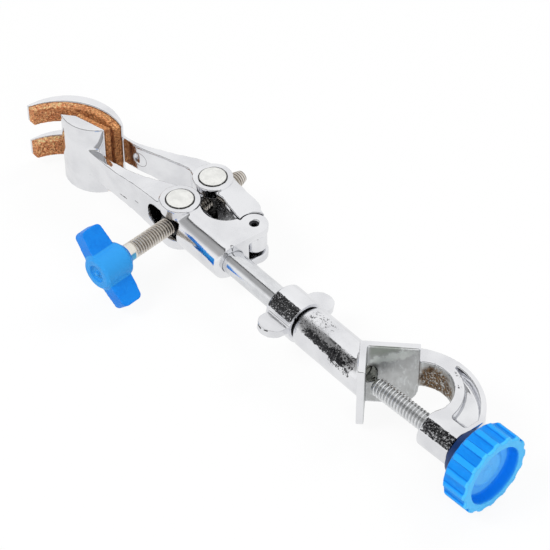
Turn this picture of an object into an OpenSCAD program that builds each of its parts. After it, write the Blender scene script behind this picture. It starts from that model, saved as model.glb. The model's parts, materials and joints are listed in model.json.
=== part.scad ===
/* [Rod and swivel] */
// Diameter of the clamp rod
rod_d = 8; // [6:0.1:10]
// Distance from the stand rod's axis to the end of the clamp's rod socket
rod_reach = 72; // [66:0.1:90]
// Depth of the rod's socket in the clamp body
socket_depth = 15; // [11:0.1:18]
// Wall of the rod's socket
socket_wall = 3; // [2.5:0.1:3.8]
// Wall of the boss head's sleeve
sleeve_wall = 3; // [2.4:0.1:3.8]
// Distance from the stand rod's axis to the front end of the sleeve
sleeve_reach = 35.5; // [33:0.1:44]
// Wall of the slit nose that the lock ring closes
nose_wall = 1.5; // [1.2:0.1:1.9]
// Length of the slit nose
nose_len = 8.5; // [6.5:0.1:9.5]

/* [Lock ring] */
// Length of the lock ring
ring_len = 11.4; // [10.8:0.1:14]
// Wall of the lock ring round the nose
ring_wall = 1.8; // [1.5:0.1:2.2]
// Width across both ears of the lock ring
ear_span = 28.6; // [24:0.1:34]
// Width of each ear along the rod
ear_w = 9.4; // [8:0.1:10.4]
// Thickness of each ear
ear_t = 2.8; // [2.2:0.1:3.6]
// Turn of the ears about the rod, as set in the rest position
ear_turn = -10; // [-40:1:40]

/* [Boss head] */
// Diameter of the stand rod that the vee is laid out for
seat_rod_d = 12; // [10.5:0.1:13.5]
// Height of the vee's plates
vee_h = 24.6; // [20:0.1:30]
// Length of the vee's near plate
vee_near_len = 11; // [9.5:0.1:13.5]
// Length of the vee's far plate, which carries the hook
vee_far_len = 15.8; // [14.8:0.1:17]
// Thickness of the vee's plates
vee_t = 2.4; // [2:0.1:3]
// Height of the hook
hook_h = 11; // [9.4:0.1:12.2]
// Inner radius of the hook
hook_in_r = 10.4; // [9.8:0.1:10.9]
// Outer radius of the hook
hook_out_r = 22.8; // [22:0.1:23.6]
// Thickness of the web left between the hook's recesses
hook_web_t = 4; // [3:0.1:5]
// Diameter of the boss that the screw runs in
boss_d = 12.6; // [11:0.1:14]
// Distance from the stand rod's axis to the front of the screw's boss
boss_reach = 19.4; // [18.6:0.1:21]
// Length of the screw's boss
boss_len = 12.2; // [10.6:0.1:13.5]
// Turn of the boss screw's axis from the rod's axis, towards the hook
boss_aim = 3; // [1:0.1:4]
// Diameter of the boss screw
boss_screw_d = 6; // [5:0.1:7.2]
// Gap from the tip of the boss screw to the bottom of the vee, screwed right in
tip_gap = 5; // [3.6:0.1:6.5]

/* [Boss knob] */
// Diameter over the lobes of the boss knob
boss_knob_d = 26.4; // [22:0.1:32]
// Thickness of the boss knob's fluted part
boss_knob_t = 9.2; // [8:0.1:12]
// Number of flutes round the boss knob
flute_count = 16; // [10:1:18]

/* [Clamp] */
// Distance from the mouth of the rod's socket to the front barrel's axis
barrel_gap = 26.5; // [24:0.1:30]
// Distance from the pivot pin's axis to the front barrel's axis
front_arm = 25.8; // [24.9:0.05:26.8]
// Distance from the pivot pin's axis to the rear barrel's axis
rear_arm = 24.5; // [24:0.05:26]
// Turn of the pivot's line from the rod's axis, seen from above
pivot_turn = 27.3; // [26.5:0.05:28.5]
// Angle between the two arms at the pivot, as closed
closed_angle = 33.9; // [33:0.1:36]
// Diameter of the two barrels
barrel_d = 9.2; // [8.4:0.1:9.8]
// Wall of the ring round each barrel
barrel_wall = 2.1; // [1.7:0.1:2.3]
// Height of the rings round the barrels
barrel_ring_h = 16.6; // [15:0.1:19]
// Diameter of the pivot pin
pin_d = 3.1; // [2.6:0.1:3.8]
// Radius of the fork's round end
lug_r = 4.6; // [4.2:0.1:5]
// Thickness of each plate of the fork
fork_plate_t = 3.1; // [2.6:0.1:3.7]
// Height of the slots that the clamp screw passes through
screw_slot_h = 8.2; // [7.8:0.1:8.8]

/* [Jaws] */
// Distance from the front barrel's axis to the centre of the moving jaw's back
jaw_len = 47.2; // [45.6:0.1:51.8]
// Outer radius of the moving jaw
jaw_r = 19.6; // [19.2:0.1:20.4]
// Height over both fingers of the moving jaw
jaw_h = 21.4; // [18:0.1:25.6]
// Height of the slot between the two fingers
finger_gap = 8.4; // [7:0.1:10]
// Thickness of the cork on the moving jaw
jaw_cork_t = 3; // [2.5:0.1:3.4]
// Height of the fixed jaw
fixed_jaw_h = 27.6; // [23:0.1:33]
// Outer radius of the fixed jaw
fixed_jaw_r = 12.2; // [11.9:0.1:12.6]
// Thickness of the cork on the fixed jaw
fixed_cork_t = 1.9; // [1.6:0.1:2.3]
// Height of the arms where they meet the jaws
arm_h = 10.6; // [8.8:0.1:12.7]

/* [Clamp screw and wing knob] */
// Diameter of the clamp screw
clamp_screw_d = 6; // [5:0.1:6.2]
// Distance from the front barrel's axis to the wing knob's collar
knob_reach = 24.4; // [22:0.1:29]
// Distance from the front barrel's axis to the tip of the clamp screw
screw_tip_reach = 28; // [27:0.1:33]
// Span over both wings
wing_span = 27.4; // [24:0.1:36]
// Width of the wings along the screw, at the hub
wing_w = 9.6; // [8.5:0.1:10.8]
// Thickness of the wings
wing_t = 5.6; // [4.6:0.1:6.7]
// Diameter of the wing knob's hub
hub_d = 11.8; // [10.4:0.1:14.2]
// Length of the wing knob's hub
hub_len = 11.4; // [11:0.1:14]

/* [Hidden] */
$fn = 96;

// Fits
run_fit = 0.06;      // radial, for what turns or slides
free_gap = 0.4;      // between faces that pass each other
thread_fit = 0.05;   // radial, screw crest to bore
open_fit = 0.2;      // radial, screw crest to the rear barrel's bore

// Swivel
rod_r = rod_d / 2;
sleeve_r = rod_r + sleeve_wall;
nose_r = rod_r + nose_wall;
ring_r = nose_r + ring_wall;
socket_r = rod_r + socket_wall;
sleeve_x = -sleeve_reach;
ring_gap = 0.9;                          // open seam between the ring and the sleeve
ring_x = sleeve_x - ring_gap - ring_len;
nose_x = sleeve_x - nose_len;
socket_x = -rod_reach;
apex_x = -seat_rod_d / 2 * sqrt(2);
end_head_r = rod_r * 0.8;
end_head_t = 2.6;
end_screw_r = 2;
end_wall_t = 2.4;
end_recess = 4.4;                        // the screw's head lies this deep behind the vee
end_wall_x = apex_x - end_recess;        // back face of the head's counterbore
rod_end_x = end_wall_x - end_wall_t - 0.2;

// Hook and boss
hook_in_c = [9.2, 5];
hook_out_c = [11.8, -1.5];
rim_c = [8.1, 3.4];                      // centre of the raised rim's outer edge
rim_r = hook_in_r + 5;
edge_w = 1.9;                            // width of the rim along the hook's outside
aim_c = 11;                              // the boss screw's axis crosses the rod's axis here
// Places along the boss screw's axis, from the crossing
boss_s = boss_reach - aim_c;
boss_back_s = boss_s + boss_len;
tip_s = apex_x + tip_gap - aim_c;
knob_collar_t = 4.2;
collar_s = boss_back_s + free_gap;
knob_s = collar_s + knob_collar_t;
knob_face_s = knob_s + boss_knob_t;
knob_recess = 3.6;
screw_end_s = knob_face_s - knob_recess - 1.6;

// Clamp plan: front barrel A, rear barrel B, pivot P
barrel_r = barrel_d / 2;
ring_out_r = barrel_r + barrel_wall;
A = [socket_x - barrel_gap, 0];
P = A + front_arm * [cos(pivot_turn), sin(pivot_turn)];
B = P + rear_arm * [cos(180 + pivot_turn - closed_angle), sin(180 + pivot_turn - closed_angle)];
screw_turn = atan2(B[1] - A[1], B[0] - A[0]);
body_h = 2 * socket_r;
under_gap = 1.3;                         // open gap below the knuckle
knuckle_h = body_h - 2 * fork_plate_t - free_gap - under_gap;
seam = 0.4;                              // between the fork's round end and the moving arm
slot_in_w = 11;                          // width of the slots on the inner side of the barrels
slot_out = [-10, 6.2];                  // ends of the slot on the knob's side, from A
cut_r = 8.1;                             // round cut between the barrels and the pivot
cut_c = A + [9.8, 11];

// Jaws
jaw_c = A + [-jaw_len, -11];
jaw_face_c = jaw_c + [3.6, -5.8];
jaw_face_r = jaw_r + 3.2;
jaw_root_x = jaw_c[0] + 9.2;
jaw_tip_y = jaw_c[1] - 1.3;
fixed_c = A + [-jaw_len - 1, 3];
fixed_lip = fixed_c + [-4.9, -11.2];
fixed_step = fixed_c + [-0.8, -7.7];
fixed_root = fixed_c + [11.9, -4.5];
face_turn = atan2(fixed_root[1] - fixed_step[1], fixed_root[0] - fixed_step[0]);
face_len = norm(fixed_root - fixed_step);

// Clamp screw
clip_t = 0.8;
clip_r = 3.6;
flat_d = barrel_r - 0.3;                 // the barrel's flats lie this far from its axis
groove_r = clamp_screw_d / 2 - 0.7;
collar_len = 1;
collar_r = clamp_screw_d / 2 + 0.3;
hub_top_z = -knob_reach - collar_len;    // the hub's two ends along the screw
hub_z = hub_top_z - hub_len;
wing_angle = 46;
wing_back = 0.4;                         // the hub stands this far past the wings
wing_taper = 1.1;

// Points of a smooth band through rows of [x, y, half width]
function spline(a, b, c, d, t) =
    0.5 * ((2 * b) + (c - a) * t + (2 * a - 5 * b + 4 * c - d) * t * t
    + (3 * b - a - 3 * c + d) * t * t * t);
function row(rows, i) = rows[max(0, min(len(rows) - 1, i))];
function along(rows, u) = let (i = min(floor(u), len(rows) - 2))
    spline(row(rows, i - 1), row(rows, i), row(rows, i + 1), row(rows, i + 2), u - i);
function side(rows, u, s) = let (
        p = along(rows, u), q = along(rows, u + 0.02), o = along(rows, max(0, u - 0.02)),
        d = [q[0] - o[0], q[1] - o[1]] / norm([q[0] - o[0], q[1] - o[1]]))
    [p[0] - s * p[2] * d[1], p[1] + s * p[2] * d[0]];

module band(rows, steps = 8) {
    n = (len(rows) - 1) * steps;
    polygon(concat(
        [for (i = [0:n]) side(rows, i / steps, 1)],
        [for (i = [n:-1:0]) side(rows, i / steps, -1)]));
}

// Points of an outline given as [x, y, corner radius]
function unit(v) = v / norm(v);
function flat_of(p) = [p[0], p[1]];
function rounded(pts, n = 6) = [for (i = [0:len(pts) - 1]) let (
        b = flat_of(pts[i]),
        r = pts[i][2],
        u = unit(flat_of(pts[(i + len(pts) - 1) % len(pts)]) - b),
        v = unit(flat_of(pts[(i + 1) % len(pts)]) - b),
        half = acos(u * v) / 2,
        c = b + unit(u + v) * r / sin(half),
        p = b + u * r / tan(half) - c,
        q = b + v * r / tan(half) - c,
        a = atan2(p[1], p[0]),
        d = atan2(q[1], q[0]) - a,
        t = d - 360 * round(d / 360))
    for (k = [0:r > 0 ? n : 0]) c + r * [cos(a + t * k / n), sin(a + t * k / n)]];

module slab(h) translate([0, 0, -h / 2]) linear_extrude(h) children();

module disc(c, r, h) translate([c[0], c[1], -h / 2]) cylinder(r = r, h = h);

module rod_x(x0, x1, r, r2 = undef)
    translate([x0, 0, 0]) rotate([0, 90, 0])
        cylinder(r1 = r, r2 = is_undef(r2) ? r : r2, h = x1 - x0);

// Moves what is drawn along +Z onto the clamp screw, with its origin on the front barrel's axis
module on_screw() translate([A[0], A[1], 0]) rotate([0, 0, screw_turn - 90]) rotate([-90, 0, 0]) children();

// One plate of the vee, from the bottom line outwards, with its lower outer corner rounded
module vee_plate(turn, length, outside, corner_r)
    rotate([0, 0, turn]) difference() {
        translate([-vee_t, outside > 0 ? 0 : -vee_t, -vee_h / 2]) cube([length + vee_t, vee_t, vee_h]);
        translate([length - corner_r, -vee_t - 1, -vee_h / 2 - 1]) difference() {
            cube([corner_r + 1, 2 * vee_t + 2, corner_r + 1]);
            translate([0, -1, corner_r + 1]) rotate([-90, 0, 0]) cylinder(r = corner_r, h = 2 * vee_t + 4);
        }
    }

// Moves what is drawn along +X onto the boss screw's axis
module on_boss() translate([aim_c, 0, 0]) rotate([0, 0, boss_aim]) children();

// Hook seen from above: from the far plate's outer side round to the boss
module hook_plan() {
    plate_end = [apex_x, 0] + vee_far_len * [sqrt(0.5), sqrt(0.5)];
    difference() {
        translate(hook_out_c) circle(r = hook_out_r, $fn = 180);
        translate(hook_in_c) circle(r = hook_in_r, $fn = 120);
        polygon([[-40, 1.2], [apex_x - 1.2, 1.2], plate_end + [-0.9, 0.9], plate_end + [6, 0],
            [boss_reach, hook_in_c[1] + 3], [boss_reach, 0], [60, 0], [60, -40], [-40, -40]]);
        translate([boss_reach + boss_len - 0.3, -1]) square([20, 60]);
    }
}

// Recess in the hook's top and bottom faces, between its two rims
module recess_plan() difference() {
    translate(hook_out_c) circle(r = hook_out_r - edge_w, $fn = 180);
    translate(rim_c) circle(r = rim_r, $fn = 120);
    translate([-40, -40]) square([43, 80]);
    translate([-40, -40]) square([80, 40]);
    translate([boss_reach + boss_len - edge_w, -1]) square([20, 60]);
}

module boss_head() color([0.80, 0.82, 0.86]) difference() {
    union() {
        difference() {
            union() {
                rod_x(sleeve_x + 1.2, apex_x + sleeve_r, sleeve_r);
                difference() {
                    slab(hook_h) hook_plan();
                    for (s = [-1, 1])
                        translate([0, 0, s * (hook_web_t / 2 + 10)]) linear_extrude(20, center = true)
                            recess_plan();
                }
            }
            // inside of the vee
            translate([apex_x, 0, -vee_h]) rotate([0, 0, -45]) cube([12, vee_far_len, 2 * vee_h]);
        }
        rod_x(sleeve_x, sleeve_x + 1.2, sleeve_r - 0.9, sleeve_r);
        rod_x(nose_x, sleeve_x + 0.5, nose_r);
        translate([apex_x, 0, 0]) {
            vee_plate(-45, vee_near_len, -1, 3);
            vee_plate(45, vee_far_len, 1, 7);
        }
        on_boss() {
            rod_x(boss_s, boss_back_s - 0.8, boss_d / 2);
            rod_x(boss_back_s - 0.8, boss_back_s, boss_d / 2, boss_d / 2 - 0.6);
        }
    }
    rod_x(nose_x - 1, rod_end_x + 0.2, rod_r + run_fit);
    rod_x(rod_end_x, end_wall_x + 1, end_screw_r + 0.2);
    rod_x(end_wall_x, apex_x + 2, end_head_r + 0.4);
    on_boss() rod_x(boss_s - 1, boss_back_s + 1, boss_screw_d / 2 + thread_fit);
    // slits of the nose
    for (a = [45, 135])
        rotate([a, 0, 0]) translate([nose_x - 1, -ring_r, -0.5]) cube([nose_len + 0.6, 2 * ring_r, 1]);
}

module boss_screw() color([0.85, 0.86, 0.88]) on_boss() {
    rod_x(tip_s, tip_s + 1, boss_screw_d / 2 - 0.9, boss_screw_d / 2);
    rod_x(tip_s + 1, screw_end_s, boss_screw_d / 2);
}

module boss_knob() {
    r = boss_knob_d / 2;
    flute_w = 0.7 * 360 / flute_count * PI / 180 * r;
    color([0.08, 0.50, 0.92]) on_boss() difference() {
        union() {
            rod_x(collar_s, knob_s, boss_d / 2 + 1, r * 0.74);
            rod_x(knob_s - 0.01, knob_s + 0.8, r - 1, r - 0.2);
            rod_x(knob_s + 0.8, knob_face_s - 0.5, r);
            rod_x(knob_face_s - 0.5, knob_face_s, r, r - 0.45);
        }
        for (i = [0:flute_count - 1])
            rotate([i * 360 / flute_count + 180 / flute_count, 0, 0]) translate([knob_s - 1, 0, 0])
                rotate([90, 0, 90]) linear_extrude(boss_knob_t + 2)
                    polygon([[-flute_w / 2, r + 0.5], [-flute_w / 2 + 0.4, r - 0.8], [0, r - 0.95],
                        [flute_w / 2 - 0.4, r - 0.8], [flute_w / 2, r + 0.5]]);
        // recess in the face, with a low dome and a dimple on its floor
        difference() {
            rod_x(knob_face_s - knob_recess, knob_face_s + 1, r * 0.7, r * 0.76);
            rod_x(knob_face_s - knob_recess - 1, knob_face_s - knob_recess + 0.6, r * 0.64, r * 0.4);
        }
        translate([knob_face_s - knob_recess + 6.2, 0, 0]) sphere(r = 6);
        rod_x(collar_s - 1, screw_end_s, boss_screw_d / 2);
    }
}

module lock_ring() color([0.80, 0.82, 0.86]) rotate([ear_turn, 0, 0]) difference() {
    union() {
        rod_x(ring_x, ring_x + 0.8, ring_r - 0.7, ring_r);
        rod_x(ring_x + 0.8, ring_x + ring_len, ring_r);
        // ears, flat plates with round ends
        difference() {
            translate([ring_x + ring_len - ear_w / 2, 0, -ear_t / 2]) linear_extrude(ear_t) {
                for (s = [-1, 1])
                    translate([0, s * (ear_span / 2 - ear_w / 2)]) circle(r = ear_w / 2);
                square([ear_w, ear_span - ear_w], center = true);
            }
            rod_x(ring_x - 1, ring_x + ring_len + 1, ring_r - 0.5);
        }
    }
    rod_x(ring_x - 1, ring_x + ring_len + 1, rod_r + free_gap);
    rod_x(nose_x - free_gap, ring_x + ring_len + 1, nose_r + run_fit);
}

module rod() color([0.86, 0.87, 0.89]) difference() {
    union() {
        rod_x(socket_x - socket_depth, rod_end_x - 0.6, rod_r);
        rod_x(rod_end_x - 0.6, rod_end_x, rod_r, rod_r - 0.6);
    }
    rod_x(rod_end_x - 9, rod_end_x + 1, end_screw_r);
}

module rod_end_screw() color([0.70, 0.71, 0.73]) difference() {
    union() {
        rod_x(rod_end_x - 8.5, end_wall_x + 0.2, end_screw_r);
        rod_x(end_wall_x + 0.15, end_wall_x + 0.15 + end_head_t, end_head_r);
    }
    translate([end_wall_x + end_head_t - 0.9, -end_head_r - 1, -0.5]) cube([2, 2 * end_head_r + 2, 1]);
}

// Side view that tapers an arm from the barrel's ring to the jaw
module arm_profile(x_jaw, x_ring) rotate([90, 0, 0]) linear_extrude(120, center = true)
    polygon([[x_jaw - 30, -arm_h / 2], [x_jaw, -arm_h / 2], [x_ring, -body_h / 2],
        [x_ring + 60, -body_h / 2], [x_ring + 60, body_h / 2], [x_ring, body_h / 2],
        [x_jaw, arm_h / 2], [x_jaw - 30, arm_h / 2]]);

module fork_plan() difference() {
    union() {
        translate(P) circle(r = lug_r);
        polygon([[socket_x + 0.4, 0], [P[0] + lug_r, P[1]], P,
            P + (lug_r + 0.2) * [cos(214), sin(214)],
            [cut_c[0], cut_c[1]], [A[0], cut_c[1] - 4], [A[0], 0]]);
    }
    translate(cut_c) circle(r = cut_r);
}

module fixed_jaw_plan() intersection() {
    translate(fixed_c) circle(r = fixed_jaw_r);
    polygon([fixed_lip, fixed_step, fixed_root, fixed_root - [0, 12], [fixed_lip[0], fixed_root[1] - 12]]);
}

module clamp_body() {
    arm_rows = [[fixed_root[0] - 5.4, fixed_root[1] - 4.1, 1.4],
        [fixed_root[0] + 2, fixed_root[1] - 3.9, 1.5], [fixed_root[0] + 9, fixed_root[1] - 3.3, 1.9],
        [A[0] - 18, A[1] - 3.4, 2.7], [A[0] - 9, A[1] - 1.5, 4.6], [A[0] - 1, A[1], 6.2]];
    color([0.80, 0.82, 0.86]) difference() {
        union() {
            rod_x(A[0] - 1, socket_x - 0.8, socket_r);
            rod_x(socket_x - 0.8, socket_x, socket_r, socket_r - 0.8);
            slab(body_h) fork_plan();
            disc(A, ring_out_r, barrel_ring_h);
            intersection() {
                slab(body_h) band(arm_rows);
                arm_profile(A[0] - 26, A[0] - 7);
            }
            slab(fixed_jaw_h) fixed_jaw_plan();
        }
        // room for the knuckle between the fork's plates
        slab(body_h - 2 * fork_plate_t) {
            translate(P) circle(r = lug_r + seam);
            polygon([P, P + [0, -lug_r - 2 * seam], P + [16, -lug_r - 2 * seam], P + 16 * [1, 1.2],
                P + 16 * [-1, 1.2], P + 12 * [cos(212), sin(212)]]);
        }
        disc(P, pin_d / 2, body_h + 1);
        disc(A, barrel_r + run_fit, barrel_ring_h + 1);
        // slots for the clamp screw
        translate([A[0] - slot_in_w / 2, A[1], -screw_slot_h / 2])
            cube([slot_in_w, 14, screw_slot_h]);
        translate([A[0], A[1], 0]) {
            translate([slot_out[0] + screw_slot_h / 2, -14, -screw_slot_h / 2])
                cube([slot_out[1] - slot_out[0] - screw_slot_h / 2, 14, screw_slot_h]);
            translate([slot_out[0] + screw_slot_h / 2, 0, 0]) rotate([90, 0, 0])
                cylinder(r = screw_slot_h / 2, h = 14);
        }
        rod_x(socket_x - socket_depth - 0.3, socket_x + 1, rod_r);
    }
}

module fixed_jaw_cork() color([0.72, 0.42, 0.20])
    translate([fixed_step[0], fixed_step[1], -fixed_jaw_h / 2 + 0.3]) rotate([0, 0, face_turn])
        cube([face_len, fixed_cork_t, fixed_jaw_h - 0.6]);

module pivot_pin() color([0.30, 0.30, 0.32]) difference() {
    disc(P, pin_d / 2, body_h - 2);
    disc(P, pin_d / 2 - 0.6, body_h);
    translate([P[0], P[1] - 0.25, -body_h]) cube([pin_d, 0.5, 2 * body_h]);
}

module barrel(c, turn, bore_r) difference() {
    translate([c[0], c[1], 0]) intersection() {
        cylinder(r = barrel_r, h = barrel_ring_h + 0.8, center = true);
        dome = 30;
        translate([0, 0, barrel_ring_h / 2 + 0.4 - dome]) sphere(r = dome, $fn = 96);
        translate([0, 0, dome - barrel_ring_h / 2 - 0.4]) sphere(r = dome, $fn = 96);
    }
    translate([c[0], c[1], 0]) rotate([0, 0, turn - 90]) {
        rotate([90, 0, 0]) cylinder(r = bore_r, h = 3 * barrel_r, center = true);
        for (s = [-1, 1])
            translate([-barrel_r, s * (flat_d + 5) - 5, -screw_slot_h / 2 + 0.2])
                cube([2 * barrel_r, 10, screw_slot_h - 0.4]);
    }
}

module front_barrel() color([0.90, 0.89, 0.86]) barrel(A, screw_turn, clamp_screw_d / 2 + thread_fit);

module rear_barrel() color([0.90, 0.89, 0.86]) barrel(B, screw_turn, clamp_screw_d / 2 + open_fit);

module clamp_screw() color([0.70, 0.68, 0.64]) on_screw() difference() {
    union() {
        translate([0, 0, hub_z + 3])
            cylinder(r = clamp_screw_d / 2, h = screw_tip_reach - 1 - hub_z - 3);
        translate([0, 0, screw_tip_reach - 1])
            cylinder(r1 = clamp_screw_d / 2, r2 = clamp_screw_d / 2 - 0.8, h = 1);
    }
    for (s = [-1, 1])
        translate([0, 0, s * (flat_d + free_gap / 2 + clip_t / 2)]) difference() {
            cylinder(r = clamp_screw_d, h = clip_t, center = true);
            cylinder(r = groove_r, h = 2 * clip_t, center = true);
        }
}

module screw_clips() color([0.25, 0.25, 0.27]) on_screw()
    for (s = [-1, 1])
        translate([0, 0, s * (flat_d + free_gap / 2 + clip_t / 2)]) difference() {
            cylinder(r = clip_r, h = clip_t, center = true);
            cylinder(r = groove_r, h = 2 * clip_t, center = true);
            translate([0, 3, 0]) cube([2.2 * groove_r * 0.8, 6, 2 * clip_t], center = true);
        }

module wing_plan() {
    e = wing_span / 2;
    c = 1.8;
    polygon(rounded([[-e, wing_taper, c], [0, 0, 0], [e, wing_taper, c],
        [e, wing_w - wing_taper, c], [0, wing_w, 0], [-e, wing_w - wing_taper, c]]));
}

module wing_knob() color([0.08, 0.50, 0.92]) on_screw() rotate([0, 0, wing_angle]) difference() {
    union() {
        translate([0, 0, hub_top_z - 0.2])
            cylinder(r1 = collar_r + 1.1, r2 = collar_r + 0.5, h = collar_len + 0.2);
        translate([0, 0, hub_top_z - 1]) cylinder(r1 = hub_d / 2, r2 = hub_d / 2 - 1, h = 1);
        translate([0, 0, hub_z + 0.8]) cylinder(r = hub_d / 2, h = hub_len - 1.8);
        translate([0, 0, hub_z]) cylinder(r1 = hub_d / 2 - 0.8, r2 = hub_d / 2, h = 0.8);
        rotate([90, 0, 0]) translate([0, hub_z + wing_back, -wing_t / 2])
            linear_extrude(wing_t) wing_plan();
    }
    // recess in the hub's end, round a small pip
    translate([0, 0, hub_z - 1]) difference() {
        cylinder(r = hub_d / 4, h = 2);
        cylinder(r = 0.8, h = 3);
    }
    translate([0, 0, hub_z + 3]) cylinder(r = clamp_screw_d / 2, h = hub_len + collar_len);
}

module moving_jaw_plan() intersection() {
    difference() {
        translate(jaw_c) circle(r = jaw_r, $fn = 180);
        translate(jaw_face_c) circle(r = jaw_face_r, $fn = 180);
    }
    translate([jaw_root_x - 60, jaw_tip_y]) square([60, 60]);
}

module moving_cork_plan() intersection() {
    difference() {
        translate(jaw_face_c) circle(r = jaw_face_r, $fn = 180);
        translate(jaw_face_c) circle(r = jaw_face_r - jaw_cork_t, $fn = 180);
    }
    translate(jaw_c) circle(r = jaw_r, $fn = 180);
    translate([jaw_root_x - 60, jaw_tip_y]) square([60, 60]);
}

// Slot that parts the two fingers, open at their tips
module finger_slot() translate([jaw_c[0] - 40, jaw_tip_y - 1, -finger_gap / 2])
    cube([40 - 4, 40, finger_gap]);

module moving_jaw_arm() {
    arm_rows = [[jaw_root_x - 1.2, jaw_c[1] + 17.4, 0.7], [jaw_root_x + 5.5, jaw_c[1] + 18.5, 0.9],
        [jaw_root_x + 12, jaw_c[1] + 21, 1.5], [B[0] - 18, B[1] - 2.4, 2],
        [B[0] - 9, B[1] + 0.6, 3.4], [B[0] - 0.5, B[1], 6.2]];
    web_rows = [[B[0] + 0.8, B[1] + 0.8, 5.4], [B[0] + 8, B[1] + 1.1, 4.2], [P[0] - 12, P[1] + 3.35, 4.35],
        [P[0] - 8.2, P[1] + 2.9, 4.6], [P[0] - 4.6, P[1] + 2.2, 4.3], [P[0] - 1.6, P[1] + 2.7, 2.7],
        [P[0] + 0.8, P[1] + 2.6, 1.9]];
    color([0.80, 0.82, 0.86]) difference() {
        union() {
            difference() {
                union() {
                    slab(body_h) band(web_rows);
                    disc(B, ring_out_r, barrel_ring_h);
                    intersection() {
                        slab(body_h) band(arm_rows);
                        arm_profile(B[0] - 26, B[0] - 7);
                    }
                    slab(jaw_h) moving_jaw_plan();
                }
                disc(P, lug_r + seam, body_h + 1);
            }
            translate([0, 0, (under_gap - free_gap) / 2]) slab(knuckle_h) {
                translate(P) circle(r = lug_r - 0.4);
                intersection() {
                    band(web_rows);
                    translate(P) circle(r = lug_r + 1.4);
                }
                polygon([P, P + 4.4 * [cos(80), sin(80)], P + 9 * [cos(125), sin(125)],
                    P + 6 * [cos(172), sin(172)]]);
            }
        }
        disc(P, pin_d / 2 + run_fit, body_h + 1);
        disc(B, barrel_r + run_fit, barrel_ring_h + 1);
        translate([B[0], B[1], 0]) rotate([0, 0, screw_turn - 90])
            translate([-slot_in_w / 2, -14, -screw_slot_h / 2]) cube([slot_in_w, 28, screw_slot_h]);
        finger_slot();
        // round mark left by the ejector on the arm's inner side
        translate([jaw_root_x + 6.6, jaw_c[1] + 17, 0]) rotate([90, 0, -20])
            cylinder(r = 1.9, h = 1.7, center = true);
    }
}

module moving_jaw_cork() color([0.72, 0.42, 0.20]) difference() {
    slab(jaw_h - 0.4) moving_cork_plan();
    finger_slot();
}

boss_head();
boss_screw();
boss_knob();
lock_ring();
rod();
rod_end_screw();
clamp_body();
fixed_jaw_cork();
pivot_pin();
front_barrel();
clamp_screw();
screw_clips();
wing_knob();
moving_jaw_arm();
moving_jaw_cork();
rear_barrel();
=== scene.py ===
import json
import math

import bmesh
import bpy
import numpy as np
from mathutils import Matrix, Vector, noise


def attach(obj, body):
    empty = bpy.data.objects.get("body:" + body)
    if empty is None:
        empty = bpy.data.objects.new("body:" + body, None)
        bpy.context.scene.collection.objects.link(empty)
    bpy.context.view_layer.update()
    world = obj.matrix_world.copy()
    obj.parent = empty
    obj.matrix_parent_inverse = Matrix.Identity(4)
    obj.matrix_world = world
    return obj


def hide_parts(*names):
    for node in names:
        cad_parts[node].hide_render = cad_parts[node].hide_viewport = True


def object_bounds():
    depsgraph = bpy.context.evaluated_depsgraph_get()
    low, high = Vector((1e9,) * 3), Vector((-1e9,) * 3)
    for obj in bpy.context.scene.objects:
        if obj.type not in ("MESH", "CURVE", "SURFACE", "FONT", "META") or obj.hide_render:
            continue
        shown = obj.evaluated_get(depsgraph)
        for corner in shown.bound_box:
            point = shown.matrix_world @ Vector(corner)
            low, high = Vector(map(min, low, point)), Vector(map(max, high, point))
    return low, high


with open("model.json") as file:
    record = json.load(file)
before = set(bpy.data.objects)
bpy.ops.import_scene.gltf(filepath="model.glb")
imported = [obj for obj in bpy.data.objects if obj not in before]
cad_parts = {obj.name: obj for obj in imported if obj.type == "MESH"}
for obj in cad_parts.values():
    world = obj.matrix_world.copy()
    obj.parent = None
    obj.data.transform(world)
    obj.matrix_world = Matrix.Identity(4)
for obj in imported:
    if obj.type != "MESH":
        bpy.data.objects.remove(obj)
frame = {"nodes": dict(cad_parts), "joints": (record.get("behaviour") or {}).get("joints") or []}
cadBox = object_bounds()
scene = bpy.context.scene
mm = 0.001
joints = {j["name"]: j for j in frame["joints"]}


# nodes written as Python expressions

class Wire:
    def __init__(self, bench, socket):
        self.bench, self.socket = bench, socket

    def __add__(self, other):
        return self.bench.maths("ADD", self, other)

    def __radd__(self, other):
        return self.bench.maths("ADD", other, self)

    def __sub__(self, other):
        return self.bench.maths("SUBTRACT", self, other)

    def __rsub__(self, other):
        return self.bench.maths("SUBTRACT", other, self)

    def __mul__(self, other):
        return self.bench.maths("MULTIPLY", self, other)

    def __rmul__(self, other):
        return self.bench.maths("MULTIPLY", other, self)

    def __truediv__(self, other):
        return self.bench.maths("DIVIDE", self, other)

    def __rtruediv__(self, other):
        return self.bench.maths("DIVIDE", other, self)

    def __pow__(self, other):
        return self.bench.maths("POWER", self, other)

    def __rpow__(self, other):
        return self.bench.maths("POWER", other, self)

    def __neg__(self):
        return self.bench.maths("MULTIPLY", self, -1.0)


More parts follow.
